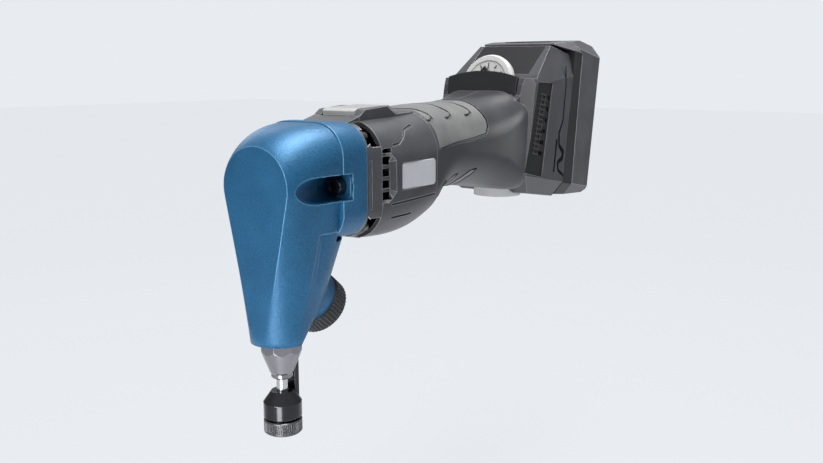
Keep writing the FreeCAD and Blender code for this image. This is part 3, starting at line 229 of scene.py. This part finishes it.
def moulded_plastic(name, dark, light, rough, grain_mm, bump, edge_tone, edge_mm=0.5,
                    edge_part=0.5, ior=1.52):
    """Plastic from an eroded mould: fine grain, a faint cloud of tone, edges painted in the edge
    tone (mostly paler, a painted highlight) and hollows painted darker as shade. An index below
    nylon's own 1.52 stands in for a coarse matt skin that shines less."""
    m, t = empty_material(name)
    place = add(t, "TexCoord")
    grain = add(t, "TexNoise", {"Vector": (place, "Object"), "Scale": 1 / (grain_mm * MM),
                                "Detail": 2.0, "Roughness": 0.6})
    cloud = add(t, "TexNoise", {"Vector": (place, "Object"), "Scale": 1 / (18 * MM),
                                "Detail": 3.0})
    tone = add(t, "Mix", {"Factor": 0.5, "A": (grain, "Fac"), "B": (cloud, "Fac")})
    spread = add(t, "MapRange", {"Value": (tone, "Result"), "From Min": 0.36, "From Max": 0.64})
    body = add(t, "Mix", {"Factor": (spread, "Result"), "A": srgb(dark), "B": srgb(light)},
               data_type="RGBA")
    rounded = add(t, "Bevel", {"Radius": edge_mm * MM}, samples=4)
    # edges painted in the edge tone and grooves painted darker: painted highlight and painted
    # shade
    colour = paint_light_and_shade(t, body, rounded, edge_tone, edge_part, 0.85)
    relief = add(t, "Bump", {"Height": (grain, "Fac"), "Strength": bump,
                             "Distance": 0.12 * MM, "Normal": (rounded, "Normal")})
    gloss = add(t, "MapRange", {"Value": (cloud, "Fac"), "To Min": rough - 0.05,
                                "To Max": rough + 0.07})
    shader = add(t, "BsdfPrincipled", {"Base Color": (colour, "Result"),
                                       "Roughness": (gloss, "Result"), "IOR": ior,
                                       "Normal": (relief, "Normal")})
    add(t, "OutputMaterial", {"Surface": (shader, "BSDF")})
    return m


black_nylon = moulded_plastic("black_glass_filled_nylon", "070708", "111113", 0.36, 0.4, 0.2,
                              "6c6c70")
finish_nodes(black_nylon, "clamp_knob")

# ---------------------------------------------------------------- screws
# Socket screws with a black oxide skin, which shines dully through its film of oil.
finish_nodes(machined_steel("black_oxide_steel", "4a4646", "716c6b", 0.2, 0.3, 0.05, "c0bebe"),
             "head_screws", "collar_screws", "handle_screws")

# ---------------------------------------------------------------- motor and gearbox
# Laminated electrical steel with varnish, an aluminium plate that carries the bearings, and
# a moulded fan. They show only through the slots of the motor case.
finish_nodes(machined_steel("cast_aluminium", "909294", "b8babc", 0.45, 0.5, 0.2),
             "gearbox_plate")
finish_nodes(machined_steel("varnished_laminated_steel", "4a4542", "7a726c", 0.4, 0.5, 0.3,
                            "8a827c", (20.0, 1.0, 1.0)), "stator", "rotor")
finish_nodes(ground, "motor_shaft", "pinion", "motor_bearings")
finish_nodes(black_nylon, "fan")

# ---------------------------------------------------------------- collar and motor case
# Grey glass-filled nylon, moulded in an eroded tool. Its creases and steps catch the light
# on their edges. The case is clamped to the head through the collar.
grey_nylon = moulded_plastic("grey_glass_filled_nylon", "333337", "46464a", 0.34, 0.45, 0.28,
                             "b8b8bc", 0.6, 0.7)
finish_nodes(grey_nylon, "collar", "motor_case")

# ---------------------------------------------------------------- label plates
# A bare white aluminium plate on either side of the motor case, stamped with round corners
# and glued into its shallow seat.
CORNER_R = 2.2 * MM
CORNER_POINTS = 48
PLATE_BEVEL = 0.25 * MM
PLATE_THICKNESS = 0.8 * MM


def rounded_rectangle(width, height, corner, count):
    """Ring of points (count x 2): a circle of the corner's radius whose four quarters are
    moved out to the corners of the rectangle."""
    a = (np.arange(count) + 0.5) / count * 2 * np.pi
    flat = np.stack([np.cos(a), np.sin(a)], 1)
    reach = np.array([width / 2 - corner, height / 2 - corner])
    return np.sign(flat) * reach + corner * flat


def closed_skin(name, stacks, material, body):
    """Mesh over stacks of rings (layers x points x 3). Each ring is joined to the next by
    quads, and the first and last are closed by a flat face."""
    points, faces, start = [], [], 0
    for rings in stacks:
        layers, count, _ = rings.shape
        i, j = np.meshgrid(np.arange(layers - 1), np.arange(count), indexing="ij")
        k = (j + 1) % count
        quads = np.stack([i * count + j, i * count + k, (i + 1) * count + k,
                          (i + 1) * count + j], -1).reshape(-1, 4) + start
        ends = [(np.arange(count)[::-1] + start).tolist(),
                (np.arange(count) + (layers - 1) * count + start).tolist()]
        points.append(rings.reshape(-1, 3))
        faces += quads.tolist() + ends
        start += layers * count
    mesh = bpy.data.meshes.new(name)
    mesh.from_pydata(np.concatenate(points).tolist(), [], faces)
    tidy = bmesh.new()
    tidy.from_mesh(mesh)
    bmesh.ops.recalc_face_normals(tidy, faces=tidy.faces)
    tidy.to_mesh(mesh)
    tidy.free()
    mesh.materials.append(material)
    o = bpy.data.objects.new(name, mesh)
    bpy.context.collection.objects.link(o)
    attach(o, body)
    return o


def plate_rings(low, high, side):
    """Rings of one label plate: full size at the back and most of its thickness, then drawn
    in by the bevel at the face."""
    outline = rounded_rectangle(high.x - low.x, high.z - low.z, CORNER_R, CORNER_POINTS)
    centre = np.array([(low.x + high.x) / 2, (low.z + high.z) / 2])
    inset = rounded_rectangle(high.x - low.x - 2 * PLATE_BEVEL, high.z - low.z - 2 * PLATE_BEVEL,
                              CORNER_R - PLATE_BEVEL, CORNER_POINTS)
    outer = high.y
    layers = [(outer - PLATE_THICKNESS, outline), (outer - PLATE_BEVEL, outline), (outer, inset)]
    rings = [np.stack([ring[:, 0] + centre[0], np.full(len(ring), side * y),
                       ring[:, 1] + centre[1]], 1) for y, ring in layers]
    return np.array(rings)


white_enamel = moulded_plastic("white_enamelled_aluminium", "b8b9be", "c6c7cb", 0.3, 0.6, 0.05,
                               "d8d9db", 0.3)
plate_low, plate_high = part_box("label_plate")
label_plates = closed_skin("label_plates", [plate_rings(plate_low, plate_high, -1),
                                            plate_rings(plate_low, plate_high, 1)],
                           white_enamel, "housing")
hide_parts("label_plate")

# ---------------------------------------------------------------- slide switch
# Light grey nylon slider on top of the motor case, worked with the thumb, with its rod and
# the sealed switch inside the handle.
light_nylon = moulded_plastic("light_grey_nylon", "969694", "aaaaa8", 0.28, 0.5, 0.12, "d8d8d6",
                              0.8)
finish_nodes(light_nylon, "slide_switch")
finish_nodes(black_nylon, "switch_rod", "power_switch")

# ---------------------------------------------------------------- handle halves
# Two shells of the same grey nylon, screwed together along the middle. The neck is smooth
# from the mould, so broad soft highlights run over it.
handle_nylon = moulded_plastic("smooth_grey_nylon", "28282b", "38383c", 0.36, 0.5, 0.16,
                               "98989c", 0.7, 0.6)
finish_nodes(handle_nylon, "handle_left", "handle_right")

# ---------------------------------------------------------------- soft grip pads
# Grey thermoplastic rubber, moulded onto the handle: a saddle over the grip with three hooked
# grooves and leaf-shaped pads under its flanks. Its skin is dull with a leathery grain.
# its edges and groove rims are painted near black: painted shade of the gaps round the pads and
# in the grooves
soft_rubber = moulded_plastic("grey_thermoplastic_rubber", "5e5e5e", "767675", 0.42, 0.5, 0.4,
                              "060607", 1.0, 0.97)
finish_nodes(soft_rubber, "top_pad", "side_pads")

# ---------------------------------------------------------------- seams of the soft pads
# A dark seam runs where the rubber meets the handle: wide round the rear end of the saddle
# and round the leaves, thin along its flank. A low black bead on the skin stands in for it: its
# black is painted shade of the narrow gap there.
GRIP_AXIS_Z = 163.1 * MM
CAST_FROM = 80 * MM
BEAD_HEIGHT = 0.22 * MM
BEAD_SAMPLES = 90
# saddle's outline on one side, just inside its edge: place along the handle, and angle up
# from the flank
SADDLE_X = [109.6, 157.2, 174.2, 178.0, 179.2, 178.2, 177.5, 177.5]
SADDLE_ANGLE = [-11.0, -5.5, -1.5, 7.0, 16.0, 31.0, 55.0, 90.0]
SADDLE_WIDTH = [0.4, 0.4, 0.5, 1.1, 1.2, 1.2, 1.0, 0.8]
# outline of a leaf pad from its tip, then the tips and the scales of the three leaves
LEAF_X = [0.0, -7.0, -11.6, -15.5, -17.0, -9.0, -6.2, -2.3, 0.0]
LEAF_Z = [0.0, -0.9, -3.8, -7.7, -14.0, -14.0, -7.0, -4.0, 0.0]
LEAF_INSET = 0.93
LEAF_SHIFT = (-0.5, -0.4)
LEAF_BEAD = 0.9
LEAVES = [(126.5, 135.1, 0.72), (146.5, 137.3, 0.86), (167.5, 139.1, 1.0)]


def skin_tree(*names):
    """Search tree over the outer skins of these CAD nodes."""
    points, faces = [], []
    for name in names:
        mesh = nodes[name].data
        faces += [[i + len(points) for i in f.vertices] for f in mesh.polygons]
        points += [v.co.copy() for v in mesh.vertices]
    return BVHTree.FromPolygons(points, faces)


def on_skin(tree, starts, ways):
    """Points and outward normals where rays from outside meet the skin. Misses are left out."""
    hits = [tree.ray_cast(Vector(s), Vector(w)) for s, w in zip(starts, ways)]
    places = np.array([h[0] for h in hits if h[0] is not None])
    outs = np.array([h[1] * (-1 if h[1].dot(Vector(w)) > 0 else 1)
                     for h, w in zip(hits, ways) if h[0] is not None])
    return places, outs


def bead(places, outs, widths):
    """Rings of a low bead: a flattened hexagon carried along the path, its base sunk a little
    into the skin."""
    run = np.gradient(places, axis=0)
    run /= np.linalg.norm(run, axis=1)[:, None]
    across = np.cross(outs, run)
    across /= np.linalg.norm(across, axis=1)[:, None]
    profile = np.array([(-0.5, 0.0), (-0.3, 1.0), (0.3, 1.0), (0.5, 0.0), (0.3, -1.0),
                        (-0.3, -1.0)])
    w = np.asarray(widths)[:, None, None] * MM
    return (places[:, None] + across[:, None] * profile[None, :, :1] * w
            + outs[:, None] * profile[None, :, 1:] * BEAD_HEIGHT)


def saddle_bead(tree):
    """Bead round the saddle pad: angle and place change step by step from one flank, over
    the top, to the other flank."""
    half = np.linspace(0, len(SADDLE_X) - 1, BEAD_SAMPLES)
    knots = np.arange(len(SADDLE_X))
    x = np.interp(half, knots, SADDLE_X) * MM
    angle = np.radians(np.interp(half, knots, SADDLE_ANGLE))
    width = np.interp(half, knots, SADDLE_WIDTH)
    x = np.concatenate([x, x[-2::-1]])
    angle = np.concatenate([angle, np.pi - angle[-2::-1]])
    out = np.stack([np.zeros_like(x), -np.cos(angle), np.sin(angle)], 1)
    start = np.stack([x, np.zeros_like(x), np.full_like(x, GRIP_AXIS_Z)], 1) + out * CAST_FROM
    places, outs = on_skin(tree, start, -out)
    return bead(places, outs, np.concatenate([width, width[-2::-1]])[:len(places)])


def leaf_bead(tree, tip_x, tip_z, scale, side):
    """Bead round one leaf pad: its outline, projected across the tool onto the flank."""
    along = np.linspace(0, len(LEAF_X) - 1, BEAD_SAMPLES)
    knots = np.arange(len(LEAF_X))
    x = (tip_x + scale * (LEAF_INSET * np.interp(along, knots, LEAF_X) + LEAF_SHIFT[0])) * MM
    z = (tip_z + scale * (LEAF_INSET * np.interp(along, knots, LEAF_Z) + LEAF_SHIFT[1])) * MM
    start = np.stack([x, np.full_like(x, side * CAST_FROM), z], 1)
    way = np.tile([0.0, -side, 0.0], (len(x), 1))
    places, outs = on_skin(tree, start, way)
    return bead(places, outs, np.full(len(places), LEAF_BEAD * scale))


grip_skin = skin_tree("handle_left", "handle_right", "top_pad", "side_pads")
gap_shade_black = moulded_plastic("painted_gap_shade", "060607", "0e0e0f", 0.8, 0.5, 0.2,
                               "1c1c1e", 0.1, ior=1.15)
closed_skin("pad_seams", [saddle_bead(grip_skin)]
            + [leaf_bead(grip_skin, *leaf, side) for leaf in LEAVES for side in (-1, 1)],
            gap_shade_black, "housing")

# ---------------------------------------------------------------- foot cover and dial hood
# Black nylon panel with a fine matt grain on the slope of the foot, and the smoother lens-
# shaped hood that shades the speed dial and carries its pointer.
finish_nodes(moulded_plastic("matt_black_nylon", "070708", "101012", 0.58, 0.7, 0.5, "3c3c40",
                             ior=1.32),
             "foot_cover")
finish_nodes(moulded_plastic("satin_black_nylon", "0d0d0f", "18181a", 0.3, 0.4, 0.1, "68686c"),
             "dial_hood")

# ---------------------------------------------------------------- speed dial
# Wheel moulded from near-white nylon, with a step round its face and printed tick marks
# from slow to fast. It sits on the spindle of a small potentiometer.
TICKS = 12
TICK_WIDTH = 0.7 * MM
TICK_HEIGHT = 0.08 * MM
TICK_OUTER, TICK_INNER, LONG_TICK_INNER = 0.66, 0.52, 0.42
LONG_EVERY = 3
FACE_SHARE = 0.6

finish_nodes(moulded_plastic("near_white_nylon", "b4b4b2", "c4c4c2", 0.35, 0.5, 0.1, "e0e0de"),
             "speed_dial")
finish_nodes(ground, "speed_pot")
dial = next(j for j in frame["joints"] if j["name"] == "speed_dial_turn")
dial_centre, dial_axis = np.array(dial["pos_m"]), np.array(dial["axis"])
dial_side = np.array([0.0, 1.0, 0.0])
dial_up = np.cross(dial_axis, dial_side)
verts = np.array([v.co for v in nodes["speed_dial"].data.vertices]) - dial_centre
dial_radius = np.abs(verts @ dial_side).max()
dial_face = (verts @ dial_axis)[np.abs(verts @ dial_side)
                                 < dial_radius * FACE_SHARE].max()


def tick(angle, inner, outer):
    """Rings of one tick mark: a short bar along the radius, from inner to outer."""
    ray = math.cos(angle) * dial_up + math.sin(angle) * dial_side
    across = math.cos(angle) * dial_side - math.sin(angle) * dial_up
    u = np.array([inner, outer, outer, inner])[:, None] * ray
    v = np.array([-1, -1, 1, 1])[:, None] * across * TICK_WIDTH / 2
    base = dial_centre + dial_axis * (dial_face - TICK_HEIGHT)
    return np.array([base + u + v, base + u + v + dial_axis * 2 * TICK_HEIGHT])


black_print = moulded_plastic("black_pad_print", "1b1b1c", "2c2c2e", 0.4, 0.6, 0.1, "333335")
tick_inner = [TICK_INNER if i % LONG_EVERY else LONG_TICK_INNER for i in range(TICKS)]
closed_skin("dial_ticks", [tick(2 * np.pi * i / TICKS, dial_radius * tick_inner[i],
                                dial_radius * TICK_OUTER) for i in range(TICKS)],
            black_print, "dial")

# ---------------------------------------------------------------- side grilles
# Black nylon inserts in the channels of the foot. A raised ladder of two rails and thirteen
# rungs stands on each, between its air slots.
RUNGS = 13
BAR_WIDTH = 0.8 * MM
LADDER_HEIGHT = 0.5 * MM
LADDER_SUNK = 0.4 * MM
BELOW_LADDER, ABOVE_LADDER = 15 * MM, 9 * MM
LADDER_INSET = 13.0 * MM
LADDER_LEAN = 0.11
RAIL_OFFSET = 3.2 * MM
RUNG_HALF = 5.2 * MM
END_RUNG = MM

finish_nodes(moulded_plastic("black_grille_nylon", "050506", "0c0c0e", 0.55, 0.4, 0.2, "4a4a4e",
                             ior=1.3), "side_grilles")
rails_up = np.array(next(j for j in frame["joints"] if j["name"] == "battery_slide")["axis"])
rails_along = np.array([rails_up[2], 0.0, -rails_up[0]])
grille = np.array([v.co for v in nodes["side_grilles"].data.vertices])
grille_up, grille_along = grille @ rails_up, grille @ rails_along
ladder_low = grille_up.min() + BELOW_LADDER
ladder_high = grille_up.max() - ABOVE_LADDER
ladder_face = np.abs(grille[:, 1]).max()


def ladder_bar(start, end, width, side):
    """Rings of a straight bar on the grille's face, from start to end (along, up)."""
    start, end = np.array(start), np.array(end)
    run = (end - start) / np.linalg.norm(end - start)
    square = np.array([-run[1], run[0]]) * width / 2
    flat = np.array([start - square, end - square, end + square, start + square])
    plan = flat[:, :1] * rails_along + flat[:, 1:] * rails_up
    face = np.array([0.0, side, 0.0])
    return np.array([plan + face * (ladder_face - LADDER_SUNK),
                     plan + face * (ladder_face + LADDER_HEIGHT)])


def ladder(side):
    """Bars of one ladder: its two rails lean with the channel, and the rungs join them."""
    middle = grille_along.min() + LADDER_INSET
    bars = []
    for offset in (-RAIL_OFFSET, RAIL_OFFSET):
        top = middle + offset + LADDER_LEAN * (ladder_high - ladder_low)
        bars.append(ladder_bar((middle + offset, ladder_low), (top, ladder_high),
                               BAR_WIDTH, side))
    for height in np.linspace(ladder_low + END_RUNG, ladder_high - END_RUNG, RUNGS):
        x = middle + LADDER_LEAN * (height - ladder_low)
        bars.append(ladder_bar((x - RUNG_HALF, height), (x + RUNG_HALF, height),
                               BAR_WIDTH, side))
    return bars


closed_skin("grille_ladders", ladder(-1) + ladder(1), black_nylon, "housing")

# ---------------------------------------------------------------- latch gaps of the foot
# Dark gaps run in the flanks of the foot, beside the battery: a bent one and a straight slot.
# Low black beads on the flank stand in for them, as the solids aren't cut there; their black is
# painted shade of the gaps.
ARM_X = [-14.5, -11.1, -10.1, -14.9, -12.8, -4.3, -5.0, -12.4, -10.1, 2.0]
ARM_Z = [91.6, 77.5, 50.5, 39.9, 30.8, 26.2, 21.4, 17.6, 11.6, 7.7]
ARM_WIDTH = [1.2, 1.5, 1.9, 2.4, 3.0, 4.2, 4.4, 3.0, 2.4, 2.0]
SLOT_X, SLOT_LOW, SLOT_HIGH, SLOT_WIDTH = -17.6, 9.4, 35.0, 2.6
SLOT_SAMPLES = 12
DIAL_ALONG, DIAL_UP = -67.4, 70.8

foot_origin = dial_centre - (rails_along * DIAL_ALONG + rails_up * DIAL_UP) * MM
foot_skin = skin_tree("handle_left", "handle_right", "battery_cover")
foot_half = max(abs(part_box("handle_left")[0].y), abs(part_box("handle_right")[0].y))


def latch_gap(x, z, width, side):
    """Bead on the foot's flank through points along the foot and up it."""
    start = (foot_origin + (np.outer(x, rails_along) + np.outer(z, rails_up)) * MM
             + [0.0, side * CAST_FROM, 0.0])
    places, outs = on_skin(foot_skin, start, np.tile([0.0, -side, 0.0], (len(x), 1)))
    places[:, 1] = side * foot_half
    return bead(places, np.tile([0.0, side, 0.0], (len(places), 1)), width[:len(places)])


steps = np.linspace(0, len(ARM_X) - 1, BEAD_SAMPLES)
knots = np.arange(len(ARM_X))
arm = [np.interp(steps, knots, values) for values in (ARM_X, ARM_Z, ARM_WIDTH)]
slot = [np.full(SLOT_SAMPLES, SLOT_X), np.linspace(SLOT_LOW, SLOT_HIGH, SLOT_SAMPLES),
        np.full(SLOT_SAMPLES, SLOT_WIDTH)]
closed_skin("latch_gaps", [latch_gap(*gap, side) for gap in (arm, slot) for side in (-1, 1)],
            gap_shade_black, "housing")

# ---------------------------------------------------------------- rest pad
# Round foot of pale translucent rubber that the tool is laid down on.
finish_nodes(moulded_plastic("pale_rubber", "c6c6c4", "d4d4d2", 0.42, 0.6, 0.15, "dededc", 1.0),
             "rest_pad")

# ---------------------------------------------------------------- electronics
# Glass-fibre board with green solder mask, and the black nylon block whose blades meet the
# battery.
board_green = moulded_plastic("green_solder_mask", "1d4a2f", "2c6340", 0.35, 0.8, 0.1, "3f7a54")
finish_nodes(board_green, "controller_board", "battery_board")
finish_nodes(black_nylon, "terminal_block")

# ---------------------------------------------------------------- battery
# Black front half with the rails, grey rear half with a bevelled label field on each side,
# sprung release button, and ten cells in shrink sleeves between moulded end frames.
battery_black = moulded_plastic("black_impact_nylon", "0a0a0c", "141416", 0.38, 0.4, 0.2,
                                "4a4a4e", ior=1.4)
finish_nodes(battery_black, "battery_case", "release_button", "cell_frames")
finish_nodes(moulded_plastic("dark_grey_impact_nylon", "343438", "46464a", 0.34, 0.45, 0.2,
                             "b4b4b8", 0.7, 0.7), "battery_cover")
finish_nodes(moulded_plastic("blue_shrink_sleeve", "2c4a66", "3a5c7c", 0.25, 0.8, 0.05,
                             "5b7c9a"), "battery_cells")

# ---------------------------------------------------------------- studio
# Pale floor and room. A long soft light hangs over the tool, a broad one stands at its front,
# and small ones pick out the foot, the polished die carrier and the far edges.
BACKGROUND = srgb("e8ecf1")
FLOOR_DROP = 0.15
FLOOR_HALF = 8.0

floor_mesh = bpy.data.meshes.new("floor")
level = cad_box[0].z - FLOOR_DROP
corners = [(-1, -1), (1, -1), (1, 1), (-1, 1)]
floor_mesh.from_pydata([(x * FLOOR_HALF, y * FLOOR_HALF, level) for x, y in corners], [],
                       [(0, 1, 2, 3)])
floor = bpy.data.objects.new("floor", floor_mesh)
bpy.context.collection.objects.link(floor)
m, t = empty_material("pale_floor")
rays = add(t, "LightPath")
mat = add(t, "BsdfPrincipled", {"Base Color": BACKGROUND, "Roughness": 0.9})
glow = add(t, "Emission", {"Color": BACKGROUND, "Strength": 1.0})
share = add(t, "Math", {0: (rays, "Is Camera Ray"), 1: 0.95}, operation="MULTIPLY")
both = add(t, "MixShader", {0: (share, "Value"), 1: (mat, "BSDF"), 2: (glow, "Emission")})
add(t, "OutputMaterial", {"Surface": (both, "Shader")})
floor_mesh.materials.append(m)

room = bpy.data.worlds.new("studio")
bpy.context.scene.world = room
room.use_nodes = True
t = room.node_tree
t.nodes.clear()
rays = add(t, "LightPath")
mirrored = add(t, "Math", {0: (rays, "Is Glossy Ray"), 1: (rays, "Is Transmission Ray")},
               operation="MAXIMUM")
# mirrored rays see the pale room too, dimmer towards the floor
way = add(t, "TexCoord")
height = add(t, "SeparateXYZ", {"Vector": (way, "Generated")})
rise = add(t, "MapRange", {"Value": (height, "Z"), "From Min": -0.1, "From Max": 0.7,
                           "To Min": 0.12, "To Max": 1.0})
dim = add(t, "Background", {"Color": BACKGROUND, "Strength": 0.16})
mirror = add(t, "Background", {"Color": BACKGROUND, "Strength": (rise, "Result")})
full = add(t, "Background", {"Color": BACKGROUND, "Strength": 1.0})
lit = add(t, "MixShader", {0: (mirrored, "Value"), 1: (dim, "Background"),
                           2: (mirror, "Background")})
both = add(t, "MixShader", {0: (rays, "Is Camera Ray"), 1: (lit, "Shader"),
                            2: (full, "Background")})
add(t, "OutputWorld", {"Surface": (both, "Shader")})


def softbox(name, place, target, size, power, spread=180):
    light = bpy.data.lights.new(name, "AREA")
    light.spread = math.radians(spread)
    light.shape = "RECTANGLE"
    light.size, light.size_y = size
    light.energy = power
    o = bpy.data.objects.new(name, light)
    bpy.context.collection.objects.link(o)
    o.location = place
    o.rotation_euler = (Vector(target) - Vector(place)).to_track_quat("-Z", "Y").to_euler()
    o.visible_camera = False


softbox("key", (0.15, -0.18, 1.1), (0.1, 0, 0.12), (1.0, 0.3), 18.0)
softbox("front", (-1.05, -0.1, 0.35), (0.0, 0, 0.1), (0.4, 0.5), 6.0)
softbox("side", (0.52, -0.42, 0.22), (0.31, 0, 0.13), (0.12, 0.3), 0.1, 45)
softbox("low_strip", (-0.22, -0.09, -0.07), (0.0, 0, 0.02), (0.11, 0.13), 0.45)
softbox("rim", (0.5, 0.9, 0.6), (0.1, 0, 0.12), (0.5, 0.5), 1.2)

# ---------------------------------------------------------------- camera
# Looks down the tool from its front left, a little from above.
EYE = Vector((-0.36274, -0.33949, 0.20418))
TURN, PITCH = math.radians(34.55), math.radians(10.11)
ahead = Vector((math.cos(PITCH) * math.cos(TURN), math.cos(PITCH) * math.sin(TURN),
                -math.sin(PITCH)))
right = Vector((math.sin(TURN), -math.cos(TURN), 0))
above = right.cross(ahead)
lens = bpy.data.cameras.new("camera")
lens.lens = 39.37
lens.sensor_width = 36
eye = bpy.data.objects.new("camera", lens)
eye.matrix_world = Matrix.Translation(EYE) @ Matrix((right, above, -ahead)).transposed().to_4x4()
bpy.context.collection.objects.link(eye)
bpy.context.scene.camera = eye
bpy.context.scene.view_settings.view_transform = "Standard"
